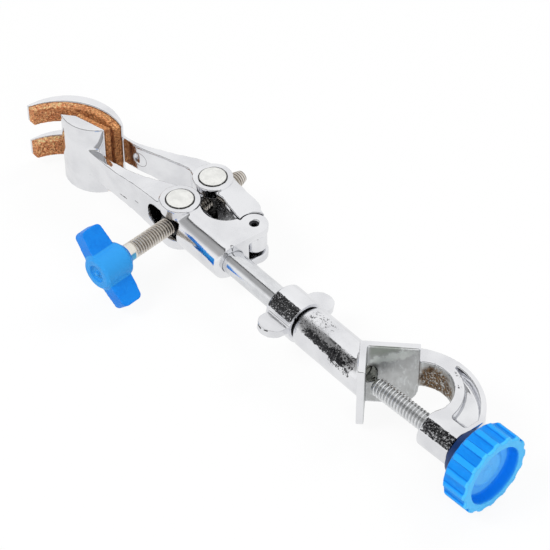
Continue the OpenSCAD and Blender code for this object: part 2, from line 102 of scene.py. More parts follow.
class Bench:
    def __init__(self, tree):
        self.tree = tree

    def node(self, kind, settings=None, values=None, out=0):
        # out names one output, or several as a tuple
        made = self.tree.nodes.new(kind)
        for name, value in (settings or {}).items():
            if name == "stops":
                ramp = made.color_ramp
                for i, (spot, shade) in enumerate(value):
                    stop = ramp.elements[i] if i < 2 else ramp.elements.new(spot)
                    stop.position = spot
                    stop.color = (shade, shade, shade, 1)
            else:
                setattr(made, name, value)
        for name, value in (values or {}).items():
            socket = made.inputs[name]
            if isinstance(value, Wire):
                self.tree.links.new(value.socket, socket)
            else:
                socket.default_value = value
        if isinstance(out, tuple):
            return [Wire(self, made.outputs[name]) for name in out]
        return Wire(self, made.outputs[out]) if made.outputs else None

    def maths(self, operation, *terms):
        return self.node("ShaderNodeMath", {"operation": operation}, dict(enumerate(terms)))

    def vector(self, operation, *terms, out="Vector"):
        return self.node("ShaderNodeVectorMath", {"operation": operation}, dict(enumerate(terms)), out)

    def rise(self, value, low, high):
        # 0 below low, 1 above high, smooth between
        return self.node("ShaderNodeMapRange", {"interpolation_type": "SMOOTHSTEP"},
                         {"Value": value, "From Min": low, "From Max": high})

    def fall(self, value, low, high):
        # 1 below low, 0 above high
        return 1 - self.rise(value, low, high)

    def absolute(self, value):
        return self.maths("ABSOLUTE", value)

    def least(self, a, b):
        return self.maths("MINIMUM", a, b)

    def most(self, a, b):
        return self.maths("MAXIMUM", a, b)

    def radius(self, a, b):
        return (a * a + b * b) ** 0.5

    def split(self, spot):
        return self.node("ShaderNodeSeparateXYZ", {}, {0: spot}, out=(0, 1, 2))

    def blend(self, factor, a, b):
        # colours in, colour out: the colour sockets of Mix are its seventh and eighth inputs
        return self.node("ShaderNodeMix", {"data_type": "RGBA"}, {0: factor, 6: a, 7: b}, out=2)

    def grain(self, place, scale, detail=2.0, rough=0.5, warp=0.0):
        return self.node("ShaderNodeTexNoise", {}, {"Vector": place, "Scale": scale, "Detail": detail,
                                                    "Roughness": rough, "Distortion": warp})

    def cells(self, place, scale, feature="F1"):
        return self.node("ShaderNodeTexVoronoi", {"feature": feature}, {"Vector": place, "Scale": scale},
                         out="Distance")


def bareTree(holder):
    holder.use_nodes = True
    holder.node_tree.nodes.clear()
    return Bench(holder.node_tree)


def finish(name):
    # an empty material, its bench and the place in millimetres
    made = bpy.data.materials.new(name)
    bench = bareTree(made)
    place = bench.node("ShaderNodeVectorMath", {"operation": "SCALE"},
                       {0: bench.node("ShaderNodeTexCoord", out="Object"), "Scale": 1 / mm})
    return made, bench, place


def bump(bench, height, strength, distance):
    return bench.node("ShaderNodeBump", {}, {"Strength": strength, "Distance": distance, "Height": height})


def surface(bench, links):
    shader = bench.node("ShaderNodeBsdfPrincipled", {}, links)
    bench.node("ShaderNodeOutputMaterial", {}, {"Surface": shader})


# masks, in millimetres and degrees: 1 inside, 0 outside

allRound = (-200, 200)       # a span that takes in the whole turn


def turned(bench, place, origin, turn=0.0, size=(1, 1, 1)):
    # the place seen from origin, turned about Z and measured in sizes
    return bench.node("ShaderNodeMapping", {"vector_type": "TEXTURE"},
                      {"Vector": place, "Location": origin, "Rotation": (0, 0, math.radians(turn)),
                       "Scale": size})


def strayed(bench, place, value, wander, scale, detail=3.0, rough=0.5):
    # a value made uneven
    return value + wander * (bench.grain(place, scale, detail, rough) - 0.5) if wander else value


def blot(bench, place, centre, size, soft=0.35, wander=0.0, wanderScale=0.5):
    # an ellipsoid round centre
    reach = bench.vector("LENGTH", turned(bench, place, centre, 0.0, size), out="Value")
    return bench.fall(strayed(bench, place, reach, wander, wanderScale), 1 - soft, 1.0)


def slab(bench, place, centre, size, soft=0.1, turn=0.0, wander=0.0, wanderScale=0.6):
    # a box round centre, turned about Z
    x, y, z = bench.split(bench.vector("ABSOLUTE", turned(bench, place, centre, turn, size)))
    reach = bench.most(bench.most(x, y), z)
    return bench.fall(strayed(bench, place, reach, wander, wanderScale), 1 - soft, 1.0)


def wrap(bench, place, origin=(0, 0, 0), turn=0.0, x=(0, 1), span=(0, 90), soft=6.0, drop=None, endSoft=0.2,
         wander=0.0, wanderScale=0.5, deepest=None):
    # a strip of a round part: x along its axis, span in degrees from the top towards -Y
    along, across, up = bench.split(turned(bench, place, origin, turn))
    angle = bench.maths("ARCTAN2", -across, up) * (180 / math.pi)
    if wander:
        shift = wander * (bench.grain(place, wanderScale, 4.0, 0.65) - 0.5)
        angle, along = angle + shift, along + shift * 0.02
    inside = bench.rise(angle, span[0] - soft, span[0])
    inside = inside * bench.fall(angle, span[1], span[1] + (soft if drop is None else drop))
    inside = inside * bench.rise(along, x[0] - endSoft, x[0]) * bench.fall(along, x[1], x[1] + endSoft)
    if deepest is not None:
        inside = inside * bench.fall(bench.radius(across, up), deepest, deepest + 0.25)
    return inside


def puck(bench, place, centre, radius, high, soft=0.3):
    # an upright round space
    x, y, z = bench.split(bench.vector("SUBTRACT", place, centre))
    inside = bench.fall(bench.radius(x, y), radius, radius + soft)
    return inside * bench.fall(bench.absolute(z), high, high + soft)


def hoop(bench, place, centre, radius, half=0.14, back=0.9):
    # a thin ring, where a round shell cuts the surface on its -Y side
    spot = bench.vector("SUBTRACT", place, centre)
    reach = bench.vector("LENGTH", spot, out="Value")
    front = bench.fall(bench.split(spot)[1], back, back + 0.3)
    return front * bench.fall(bench.absolute(reach - radius), half * 0.5, half)


# finishes

castingLooks = {
    "bright": (0.86, 0.865, 0.885, 1),
    "dim": (0.77, 0.775, 0.80, 1),
    "pitAndShade": (0.012, 0.012, 0.014, 1),
    "dullDark": (0.40, 0.41, 0.40, 1),
    "dullPale": (0.68, 0.69, 0.70, 1),
    "dullStreak": (0.80, 0.83, 0.83, 1),
    "rustDark": (0.17, 0.085, 0.03, 1),
    "rustPale": (0.52, 0.34, 0.17, 1),
    "rustVein": (0.045, 0.020, 0.008, 1),
    "rough": 0.07,
    "peel": 0.35,            # depth of the orange peel
    "bumpDepth": 0.00009,
}
# a patch's pits: how open they are, how dark and how fine, where the patch doesn't say
pitting = {"speck": 0.5, "dark": 1.0, "scale": 1.25}


def platedCasting(name, pitsAndShade=(), stains=(), dull=(), smearsAndShade=()):
    # bright plating on a casting, with dark mottled areas that are pitting in some places and painted shade
    # and painted dark reflection in others, smeared marks with a painted shadow among them, brown stains and
    # duller inner faces
    look = castingLooks
    made, bench, place = finish(name)
    cloud = bench.grain(place, 0.11, 3.0)
    peel = bench.grain(place, 0.55, 2.0, 0.45)
    fine = bench.grain(place, 3.2, 3.0, 0.6)
    pits = bench.rise(bench.cells(place, 0.9), 0.10, 0.05) * bench.rise(bench.grain(place, 0.3), 0.52, 0.66)
    colour = bench.blend(bench.rise(cloud, 0.35, 0.7), look["bright"], look["dim"])
    rough = look["rough"] + 0.10 * bench.rise(cloud, 0.4, 0.75) + 0.12 * pits
    height = look["peel"] * peel - 0.5 * pits
    for mask, settings in dull:
        area = mask(bench, place, **settings)
        grey = bench.blend(bench.grain(place, 0.45, 4.0, 0.6), look["dullDark"], look["dullPale"])
        drawn = bench.vector("MULTIPLY", place, (0.9, 0.9, 0.25))
        streaks = bench.rise(bench.grain(drawn, 0.9, 3.0, 0.6, 1.2), 0.52, 0.7)
        colour = bench.blend(area, colour, bench.blend(streaks * 0.6, grey, look["dullStreak"]))
        rough = rough + area * 0.32
        height = height + area * 0.5 * fine
    for mask, settings, tint in smearsAndShade:
        area = mask(bench, place, **settings) * (0.55 + 0.6 * bench.grain(place, 0.9, 4.0, 0.65, 1.0))
        colour = bench.blend(bench.least(area, 1.0), colour, tint)
    for mask, settings in stains:
        area = mask(bench, place, **settings)
        film = bench.grain(place, 0.7, 4.0, 0.65, 2.2)
        flakes = bench.rise(film, 0.38, 0.50) * area
        rust = bench.blend(bench.rise(fine, 0.42, 0.58), look["rustDark"], look["rustPale"])
        veins = bench.fall(bench.absolute(film - 0.5), 0.012, 0.035)
        veins = bench.most(veins, bench.rise(bench.grain(place, 1.7, 4.0, 0.7, 1.2), 0.56, 0.62))
        colour = bench.blend(flakes * 0.95, colour, bench.blend(veins, rust, look["rustVein"]))
        rough = rough + flakes * 0.35
        height = height - flakes * 0.8
    # pitting, and in some places painted shade and painted dark reflection
    for mask, settings in pitsAndShade:
        speck, dark, scale = (settings.get(key, usual) for key, usual in pitting.items())
        area = mask(bench, place, **{k: v for k, v in settings.items() if k not in pitting})
        crust = bench.grain(place, scale, 5.0, 0.72, 0.9)
        level = 0.30 + (0.32 - 0.2 * speck) * area
        bits = bench.fall(crust, level - 0.012, level + 0.012) * bench.rise(area, 0.02, 0.06)
        colour = bench.blend(bits * dark, colour, look["pitAndShade"])
        height = height + area * 1.6 * crust
        rough = rough + area * 0.14
    surface(bench, {"Base Color": colour, "Metallic": 1.0, "Roughness": rough,
                    "Normal": bump(bench, height, 0.5, look["bumpDepth"])})
    return made


steelLooks = {
    "nick": (0.08, 0.08, 0.09, 1),
    "grooveShade": (0.05, 0.045, 0.04, 1),
    "bumpDepth": 0.00003,
}


def turnedSteel(name, bright, dim, rough, lineAxis=(1, 1, 1), lineScale=1.2, lineDepth=0.3, grooveShade=0.0,
                tints=None):
    # drawn or turned steel: fine lines round or along the part, faint clouds, a few nicks and painted shade
    # in the thread's grooves
    look = steelLooks
    made, bench, place = finish(name)
    lines = bench.grain(bench.vector("MULTIPLY", place, lineAxis), lineScale, 3.0, 0.6)
    cloud = bench.grain(place, 0.25, 3.0)
    nicks = bench.rise(bench.cells(place, 1.3), 0.09, 0.04) * bench.rise(bench.grain(place, 0.5), 0.55, 0.66)
    colour = bench.blend(bench.rise(lines * 0.5 + cloud * 0.5, 0.38, 0.62), bright, dim)
    colour = bench.blend(nicks * 0.7, colour, look["nick"])
    # painted shade: the thread's grooves are darkened by their depth
    if grooveShade:
        deep = bench.node("ShaderNodeAttribute", {"attribute_name": "grooveShade"}, out="Fac")
        colour = bench.blend(bench.rise(deep, 0.35, 1.0) * grooveShade, colour, look["grooveShade"])
    for area, tint in (tints(bench, place) if tints else ()):
        colour = bench.blend(area, colour, tint)
    height = lineDepth * lines - 0.6 * nicks
    surface(bench, {"Base Color": colour, "Metallic": 1.0, "Roughness": rough + 0.12 * cloud + 0.2 * nicks,
                    "Normal": bump(bench, height, 0.4, look["bumpDepth"])})
    return made


plasticLooks = {
    "rubbed": (0.05, 0.42, 0.88, 1),
    "rough": 0.34,
    "specular": 0.2,
    "bumpDepth": 0.00006,
}


def mouldedPlastic(name, deep, light, tints):
    # semi-gloss plastic: slow clouds, fine flow marks, paler rubbed spots
    look = plasticLooks
    made, bench, place = finish(name)
    cloud = bench.grain(place, 0.16, 3.0)
    flow = bench.grain(bench.vector("MULTIPLY", place, (0.35, 1.0, 1.0)), 1.2, 3.0, 0.55, 0.8)
    grit = bench.grain(place, 5.0, 2.0, 0.6)
    rubbed = bench.rise(bench.grain(place, 0.42, 4.0, 0.62), 0.62, 0.74)
    colour = bench.blend(bench.rise(0.6 * cloud + 0.4 * flow, 0.38, 0.62), deep, light)
    colour = bench.blend(rubbed * 0.18, colour, look["rubbed"])
    for area, tint in tints(bench, place):
        colour = bench.blend(area, colour, tint)
    surface(bench, {"Base Color": colour, "Roughness": look["rough"] + 0.14 * cloud + 0.08 * rubbed,
                    "Normal": bump(bench, 0.5 * flow + 0.35 * grit, 0.35, look["bumpDepth"]),
                    "Specular IOR Level": look["specular"]})
    return made


corkLooks = {
    "granules": 1.5,         # granules per millimetre
    "brown": (0.34, 0.095, 0.022, 1),
    "tan": (0.95, 0.50, 0.21, 1),
    "dust": (0.95, 0.62, 0.34, 1),
    "joint": (0.25, 0.075, 0.018, 1),
    "lenticel": (0.13, 0.036, 0.012, 1),
    # painted shade on the sides, painted light on the top and bottom faces and on the jaws' open ends
    "paintedSideShade": (0.98, 0.84, 0.74, 1),
    "paintedTopLight": (1.22, 1.10, 1.06, 1),
    "paintedTipLight": (1.48, 1.50, 1.80, 1),
    "tips": (-165.0, -145.0),
    "palest": 0.95,
    "bumpDepth": 0.00025,
    "specular": 0.25,
}


def pressedCork(name):
    # granules of several browns with dark lenticels between them
    look = corkLooks
    made, bench, place = finish(name)
    drift = bench.node("ShaderNodeTexNoise", {}, {"Vector": place, "Scale": 1.6, "Detail": 2.0}, out="Color")
    bent = bench.vector("ADD", place, drift)
    granule = bench.node("ShaderNodeTexVoronoi", {}, {"Vector": bent, "Scale": look["granules"]}, out="Color")
    tone = bench.node("ShaderNodeSeparateColor", {}, {"Color": granule})
    edge = bench.cells(bent, look["granules"], "DISTANCE_TO_EDGE")
    fleck = bench.rise(bench.grain(place, 1.7, 4.0, 0.75, 1.2), 0.53, 0.58)
    big = bench.rise(bench.grain(place, 0.55, 4.0, 0.6, 1.5), 0.66, 0.72)
    dust = bench.rise(bench.grain(place, 3.4, 3.0, 0.7), 0.4, 0.75)
    colour = bench.blend(tone, look["brown"], look["tan"])
    colour = bench.blend(dust * 0.6, colour, look["dust"])
    colour = bench.blend(bench.rise(edge, 0.09, 0.02) * 0.55, colour, look["joint"])
    colour = bench.blend(bench.most(fleck * 0.75, big * 0.8), colour, look["lenticel"])
    # painted light and shade: the top and bottom faces are painted paler than the sides, and the jaws' open
    # ends are painted paler still
    facing = bench.absolute(bench.split(bench.node("ShaderNodeTexCoord", out="Normal"))[2])
    tint = bench.blend(bench.rise(facing, 0.5, 0.9), look["paintedSideShade"], look["paintedTopLight"])
    colour = bench.vector("MULTIPLY", colour, tint)
    tips = bench.fall(bench.split(place)[0], *look["tips"])
    colour = bench.vector("MULTIPLY", colour, bench.blend(tips, (1, 1, 1, 1), look["paintedTipLight"]))
    colour = bench.vector("MINIMUM", colour, (look["palest"],) * 3)
    height = bench.least(edge * 3.0, 0.6) + 0.5 * bench.grain(place, 3.0, 4.0, 0.7)
    height = height - 0.7 * bench.most(fleck, big)
    surface(bench, {"Base Color": colour, "Roughness": 0.86 - 0.1 * fleck,
                    "Normal": bump(bench, height, 0.9, look["bumpDepth"]),
                    "Specular IOR Level": look["specular"]})
    return made


barrelLooks = {
    "pale": (0.80, 0.80, 0.775, 1),
    "grey": (0.70, 0.70, 0.68, 1),
    "speck": (0.45, 0.44, 0.41, 1),
    "sideDark": (0.012, 0.012, 0.012, 1),
    "sidePale": (0.22, 0.22, 0.21, 1),
    "sideDepth": (0.32, 0.12),      # in from the round side: where the dark side colour ends and where it is full
    "faceDepth": (1.0, 0.8),        # the same, in from the end faces
    "metal": 0.25,
    "bumpDepth": 0.00006,
}


def barrelMetal(name, centre, radius, high):
    # pale matt end faces, as sintered or cast zinc, on dark, mottled sides
    look = barrelLooks
    made, bench, place = finish(name)
    cloud = bench.grain(place, 0.4, 4.0, 0.6)
    fine = bench.grain(place, 4.0, 3.0, 0.6)
    specks = bench.rise(bench.grain(place, 2.2, 3.0, 0.7), 0.66, 0.76)
    colour = bench.blend(bench.rise(cloud, 0.35, 0.7), look["pale"], look["grey"])
    colour = bench.blend(specks * 0.35, colour, look["speck"])
    x, y, z = bench.split(bench.vector("SUBTRACT", place, centre))
    side = bench.rise(bench.radius(x, y), *(radius - depth for depth in look["sideDepth"]))
    side = side + bench.fall(bench.absolute(z), *(high - depth for depth in look["faceDepth"]))
    mottle = bench.rise(bench.grain(place, 1.2, 5.0, 0.7, 0.8), 0.50, 0.60)
    sideMottle = bench.blend(mottle, look["sideDark"], look["sidePale"])
    colour = bench.blend(bench.least(side, 1.0), colour, sideMottle)
    surface(bench, {"Base Color": colour, "Metallic": look["metal"], "Roughness": 0.42 + 0.15 * cloud,
                    "Normal": bump(bench, fine + 0.6 * cloud, 0.5, look["bumpDepth"])})
    return made


darkLooks = {
    "worn": (0.30, 0.30, 0.31, 1),
    "bumpDepth": 0.00006,
}


def darkSteel(name, low, high, metal):
    # dark steel with paler worn spots
    look = darkLooks
    made, bench, place = finish(name)
    cloud = bench.grain(place, 0.9, 4.0, 0.6)
    worn = bench.rise(bench.grain(place, 2.1, 4.0, 0.65), 0.58, 0.7)
    colour = bench.blend(worn * 0.5, bench.blend(cloud, low, high), look["worn"])
    surface(bench, {"Base Color": colour, "Metallic": metal, "Roughness": 0.35 + 0.2 * cloud,
                    "Normal": bump(bench, cloud + worn, 0.5, look["bumpDepth"])})
    return made


# pieces made from the CAD solids, worked on in millimetres

mergeGap = 0.002
smoothing = 0.5


def solidCopy(node, name, voxel, smooth):
    # a merged copy of a CAD solid, remeshed and smoothed so that its edges are cast, not cut
    mesh = frame["nodes"][node].data.copy()
    mesh.materials.clear()
    work = bmesh.new()
    work.from_mesh(mesh)
    bmesh.ops.scale(work, vec=(1 / mm,) * 3, verts=work.verts)
    bmesh.ops.remove_doubles(work, verts=work.verts, dist=mergeGap)
    work.to_mesh(mesh)
    work.free()
    piece = bpy.data.objects.new(name, mesh)
    scene.collection.objects.link(piece)
    remesh = piece.modifiers.new("cast", "REMESH")
    remesh.mode, remesh.voxel_size, remesh.adaptivity = "VOXEL", voxel, 0.0
    soften = piece.modifiers.new("soften", "SMOOTH")
    soften.factor, soften.iterations = smoothing, smooth
    settle(piece)
    return piece


def settle(piece):
    # the evaluated result becomes the piece's own mesh
    bpy.context.view_layer.update()
    graph = bpy.context.evaluated_depsgraph_get()
    result = bpy.data.meshes.new_from_object(piece.evaluated_get(graph), depsgraph=graph)
    old = piece.data
    piece.modifiers.clear()
    piece.data = result
    bpy.data.meshes.remove(old)


def pushed(piece, depthAt):
    # moves each vertex along its normal by what depthAt gives for its place
    mesh = piece.data
    count = len(mesh.vertices)
    spots, normals = np.empty(count * 3), np.empty(count * 3)
    mesh.vertices.foreach_get("co", spots)
    mesh.vertex_normals.foreach_get("vector", normals)
    spots, normals = spots.reshape(-1, 3), normals.reshape(-1, 3)
    depths = np.array([depthAt(Vector(p)) for p in spots])
    mesh.vertices.foreach_set("co", (spots + normals * depths[:, None]).ravel())
    mesh.update()


def rub(piece, seed, depth, scale):
    # slow unevenness of a cast or moulded surface, mostly inwards, so that it stays inside its solid
    shift = Vector((seed * 7.3, seed * 3.1, seed * 5.7))
    pushed(piece, lambda p: depth * (noise.noise(p * scale + shift) - 0.6))


def crumble(piece, seed, sunk, deep, coarse, fine):
    # torn granules: small hollows below the cork's face
    shift = Vector((seed * 4.1, seed * 2.3, seed * 9.7))
    pushed(piece, lambda p: -sunk - deep * max(0.0, noise.noise(p * coarse + shift)
                                               + noise.noise(p * fine + shift)))


def dress(piece, material):
    # back to metres, smooth and in its material
    mesh = piece.data
    mesh.transform(Matrix.Scale(mm, 4))
    mesh.polygons.foreach_set("use_smooth", [True] * len(mesh.polygons))
    mesh.materials.clear()
    mesh.materials.append(material)
    mesh.update()


def seat(piece, body, node):
    # hands a finished piece to its body, in place of its CAD node
    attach(piece, body)
    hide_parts(node)
    print("made", piece.name, len(piece.data.polygons), "faces")


# camera, room, lamps and floor

view = {
    "azimuth": 50.0, "elevation": 44.5, "distance": 0.700, "target": (-0.058, 0, 0),
    "frame": 550, "focal": 2240.0, "targetOffset": (-14.0, 10.2),    # the last two in parts of the frame
    "sensor": 36.0, "clip": (0.02, 20),
}


def setCamera():
    a, e = math.radians(view["azimuth"]), math.radians(view["elevation"])
    back = Vector((math.sin(a) * math.cos(e), -math.cos(a) * math.cos(e), math.sin(e)))
    right = Vector((math.cos(a), math.sin(a), 0))
    up = back.cross(right)
    u, v = (w / view["focal"] for w in view["targetOffset"])
    d = view["distance"]
    spot = Vector(view["target"]) + back * d - right * u * d + up * v * d
    data = bpy.data.cameras.new("camera")
    data.sensor_width, data.lens = view["sensor"], view["sensor"] * view["focal"] / view["frame"]
    data.clip_start, data.clip_end = view["clip"]
    camera = bpy.data.objects.new("camera", data)
    camera.matrix_world = Matrix.Translation(spot) @ Matrix((right, up, back)).transposed().to_4x4()
    scene.collection.objects.link(camera)
    scene.camera = camera


studio = {
    "ambient": 0.52,
    # brightness of the room by its angle from straight up, towards -Y
    "room": [(-180, 0.92), (-60, 0.95), (-33, 0.945), (-8, 0.985), (8.5, 1.0), (10.0, 0.015), (14.5, 0.06),
             (20, 0.36), (30, 0.45), (46, 0.43), (57, 0.52), (65, 0.84), (74, 0.98)],
    "key": {"spot": (-0.35, -0.75, 0.95), "aim": (-0.06, 0, 0), "size": 0.55, "power": 7.0},
    "fill": {"spot": (0.70, -0.25, 0.55), "aim": (-0.02, 0, 0), "size": 0.5, "power": 2.6},
    "rim": {"spot": (-0.15, 0.75, 0.8), "aim": (-0.06, 0, 0), "size": 0.5, "power": 3.2},
    "floorHalf": 6,
    "floorColour": (0.86, 0.86, 0.86, 1),
    "floorMirrored": 0.88,   # how bright the plating sees the floor
    "shade": 0.09,           # how strong the shadow on the floor is
}
rayKinds = ("Is Camera Ray", "Is Glossy Ray", "Is Transmission Ray")


def setRoom():
    # what the plating mirrors: a white room with one dark opening overhead, in front, with a sharp edge
    world = bpy.data.worlds.new("paleStudio")
    scene.world = world
    bench = bareTree(world)
    isCamera, isGlossy, isThrough = bench.node("ShaderNodeLightPath", out=rayKinds)
    x, y, z = bench.split(bench.node("ShaderNodeTexCoord", out="Generated"))
    tilt = bench.maths("ARCTAN2", -y, z) * (0.5 / math.pi) + 0.5
    stops = [(0.5 + angle / 360, shade) for angle, shade in studio["room"]]
    room = bench.node("ShaderNodeValToRGB", {"stops": stops}, {"Fac": tilt})
    plain = bench.blend(isCamera + isThrough, (studio["ambient"],) * 3 + (1,), (1, 1, 1, 1))
    seen = bench.blend(isGlossy * (1 - isCamera), plain, room)
    background = bench.node("ShaderNodeBackground", {}, {"Color": seen, "Strength": 1.0})
    bench.node("ShaderNodeOutputWorld", {}, {"Surface": background})


def setLamps():
    for name in ("key", "fill", "rim"):
        plan = studio[name]
        data = bpy.data.lights.new(name, "AREA")
        data.shape, data.size, data.energy = "DISK", plan["size"], plan["power"]
        lamp = bpy.data.objects.new(name, data)
        lamp.visible_glossy = False     # the plating mirrors the room, not the lamps
        lamp.location = plan["spot"]
        lamp.rotation_euler = (Vector(plan["aim"]) - Vector(plan["spot"])).to_track_quat("-Z", "Y").to_euler()
        scene.collection.objects.link(lamp)


def setFloor():
    # white for the eye and in the plating, darkened only by the object's shadow
    made = bpy.data.materials.new("paleFloor")
    bench = bareTree(made)
    isCamera, isGlossy, isThrough = bench.node("ShaderNodeLightPath", out=rayKinds)
    card = bench.node("ShaderNodeBsdfDiffuse", {}, {"Color": studio["floorColour"]})
    glow = bench.node("ShaderNodeEmission", {}, {
        "Color": (1, 1, 1, 1), "Strength": 1 - (1 - studio["floorMirrored"]) * isGlossy * (1 - isCamera)})
    lit = bench.most(bench.most(isCamera, isGlossy), isThrough)
    mixed = bench.node("ShaderNodeMixShader", {}, {0: lit * (1 - studio["shade"]), 1: card, 2: glow})
    bench.node("ShaderNodeOutputMaterial", {}, {"Surface": mixed})
    low, half = cadBox[0][2], studio["floorHalf"]
    mesh = bpy.data.meshes.new("floor")
    mesh.from_pydata([(-half, -half, low), (half, -half, low), (half, half, low), (-half, half, low)], [],
                     [(0, 1, 2, 3)])
    mesh.materials.append(made)
    floor = bpy.data.objects.new("floor", mesh)
    scene.collection.objects.link(floor)


setCamera()
setRoom()
setLamps()
setFloor()
scene.view_settings.view_transform = "Standard"
print("camera and studio set")


# threads, by Geometry Nodes

threadInputs = ("Length", "Crest", "Root", "Pitch", "Plain", "Lead", "Rows", "Columns", "Material")
threadForm = {
    "flank": (0.16, 0.86),   # where the flank starts and ends, from 0 at the crest to 1 at the root
    "runOut": 1.2,           # pitches over which the thread grows out of the plain part
    "tip": 0.86,             # radius of the tip, over the root's
    "endSlack": 0.00001,
    "mergeGap": 0.00002,
}


def threadTree():
    form = threadForm
    tree = bpy.data.node_groups.new("rolledThread", "GeometryNodeTree")
    kinds = {"Rows": "NodeSocketInt", "Columns": "NodeSocketInt", "Material": "NodeSocketMaterial"}
    tree.interface.new_socket("Geometry", in_out="INPUT", socket_type="NodeSocketGeometry")
    for name in threadInputs:
        tree.interface.new_socket(name, in_out="INPUT", socket_type=kinds.get(name, "NodeSocketFloat"))
    tree.interface.new_socket("Geometry", in_out="OUTPUT", socket_type="NodeSocketGeometry")
    bench = Bench(tree)
    length, crest, root, pitch, plain, lead, rows, columns, material = bench.node(
        "NodeGroupInput", out=threadInputs)
    sheet = bench.node("GeometryNodeMeshGrid", {}, {"Size X": 1.0, "Size Y": 1.0, "Vertices X": rows,
                                                    "Vertices Y": columns}, out="Mesh")
    across, along, level = bench.split(bench.node("GeometryNodeInputPosition"))
    u, v = across + 0.5, along + 0.5
    run = (u * (rows - 1) - 1) / (rows - 3) * length      # the first and last rows close the ends
    z = bench.most(bench.least(run, length), 0.0)
    wave = bench.maths("PINGPONG", z / pitch - v, 0.5) * 2
    cut = bench.rise(wave, *form["flank"]) * bench.rise(z, plain, plain + pitch * form["runOut"])
    radius = crest - (crest - root) * cut
    radius = bench.least(radius, root * form["tip"] + bench.least(z, length - z) * lead)
    inside = bench.maths("LESS_THAN", run, length * (1 + form["endSlack"]))
    inside = inside * bench.maths("GREATER_THAN", run, length * -form["endSlack"])
    radius = radius * inside
    angle = v * (2 * math.pi)
    spot = bench.node("ShaderNodeCombineXYZ", {}, {0: radius * bench.maths("COSINE", angle),
                                                   1: radius * bench.maths("SINE", angle), 2: z})
    # the depth of the grooves, which the steel finish turns into painted shade
    marked = bench.node("GeometryNodeStoreNamedAttribute", {"data_type": "FLOAT", "domain": "POINT"},
                        {"Geometry": sheet, "Name": "grooveShade", "Value": cut})
    bent = bench.node("GeometryNodeSetPosition", {}, {"Geometry": marked, "Position": spot})
    whole = bench.node("GeometryNodeMergeByDistance", {}, {"Geometry": bent, "Distance": form["mergeGap"]})
    smooth = bench.node("GeometryNodeSetShadeSmooth", {}, {0: whole})
    real = bench.node("GeometryNodeRealizeInstances", {}, {0: smooth})
    dressed = bench.node("GeometryNodeSetMaterial", {}, {"Geometry": real, "Material": material})
    bench.node("NodeGroupOutput", {}, {0: dressed})
    return tree


def grown(name, tree, values):
    # one plain mesh from a node tree, its inputs set by identifier before it is evaluated
    mesh = bpy.data.meshes.new(name)
    piece = bpy.data.objects.new(name, mesh)
    scene.collection.objects.link(piece)
    maker = piece.modifiers.new("maker", "NODES")
    maker.node_group = tree
    for item in tree.interface.items_tree:
        if item.in_out == "INPUT" and item.name in values:
            maker[item.identifier] = values[item.name]
    settle(piece)
    return piece


def outward(mesh):
    work = bmesh.new()
    work.from_mesh(mesh)
    bmesh.ops.recalc_face_normals(work, faces=work.faces)
    if work.calc_volume(signed=True) < 0:
        bmesh.ops.reverse_faces(work, faces=work.faces)
    work.to_mesh(mesh)
    work.free()


def axisFrame(joint, flip):
    # turns +Z onto a joint's axis and moves the origin to its place
    axis = Vector(joints[joint]["axis"]) * (-1 if flip else 1)
    start = Vector(joints[joint]["pos_m"])
    return Matrix.Translation(start) @ axis.to_track_quat("Z", "X").to_matrix().to_4x4()


def reachAlong(node, frameOf):
    # how far a CAD node reaches along an axis, lowest and highest
    back = frameOf.inverted()
    spots = [(back @ v.co).z for v in frame["nodes"][node].data.vertices]
    return min(spots), max(spots)


rolled = threadTree()


def threadedRod(name, plan, material):
    axis = axisFrame(plan["joint"], plan["flip"])
    low, high = reachAlong(plan["node"], axis)
    length = high - low
    rows = int(length / mm / plan["pitch"] * plan["rowsPerTurn"]) + 3
    piece = grown(name, rolled, {
        "Length": length, "Crest": plan["crest"] * mm, "Root": plan["root"] * mm, "Pitch": plan["pitch"] * mm,
        "Plain": plan["plain"] * mm, "Lead": plan["lead"], "Rows": rows, "Columns": plan["columns"],
        "Material": material})
    piece.data.transform(axis @ Matrix.Translation((0, 0, low)))
    outward(piece.data)
    seat(piece, plan["body"], plan["node"])


# the two screws: where each one's line starts and how it is turned about Z, then its thread

clampLine = {"origin": (-98.5, 0, 0), "turn": 95.5}
bossLine = {"origin": (11, 0, 0), "turn": 3}
clampThread = {
    "node": "clamp_screw", "body": "clamp_screw", "slot": "steel_screw",
    "joint": "clamp_screw_turn", "flip": True,
    "crest": 2.95, "root": 2.34, "pitch": 1.0,
    "plain": 12.2,           # length of the neck without a thread
    "lead": 0.28,            # slope of the ends' chamfers
    "rowsPerTurn": 10, "columns": 49,
}
bossThread = {
    "node": "boss_screw", "body": "boss_screw", "slot": "boss_screw_steel",
    "joint": "boss_knob_turn", "flip": False,
    "crest": 2.97, "root": 2.30, "pitch": 1.25, "plain": 0.0, "lead": 0.8,
    "rowsPerTurn": 12, "columns": 49,
}


def neckHighlightAndReflection(bench, place):
    # the plain neck by the wings: a painted creamy highlight above, and below it a painted reflection of the
    # knob's plastic
    creamHighlight = wrap(bench, place, x=(-27, -21.8), span=allRound, endSoft=0.5, **clampLine)
    blueReflection = wrap(bench, place, x=(-27, -22.4), span=(66, 150), soft=8, endSoft=0.5, wander=10, **clampLine)
    return [(creamHighlight * 0.8, (0.90, 0.87, 0.80, 1)), (blueReflection * 0.9, (0.02, 0.36, 0.66, 1))]


screwSteel = turnedSteel("screwSteel", (0.80, 0.76, 0.70, 1), (0.62, 0.57, 0.51, 1), rough=0.24, grooveShade=0.62,
                         tints=neckHighlightAndReflection)
bossScrewSteel = turnedSteel("bossScrewSteel", (0.88, 0.89, 0.90, 1), (0.76, 0.77, 0.78, 1), rough=0.22,
                             grooveShade=0.40)
threadedRod("clampScrewThread", clampThread, screwSteel)
threadedRod("bossScrewThread", bossThread, bossScrewSteel)


# castings

vee = {
    "apex": -8.485,          # x of the inner corner
    "high": 12.3,            # half the vee's height
    "end": 6.6,              # x where its walls end
    "hookCentre": (9.2, 5), "hookRadius": 10.4, "hookHigh": 5.5,
}


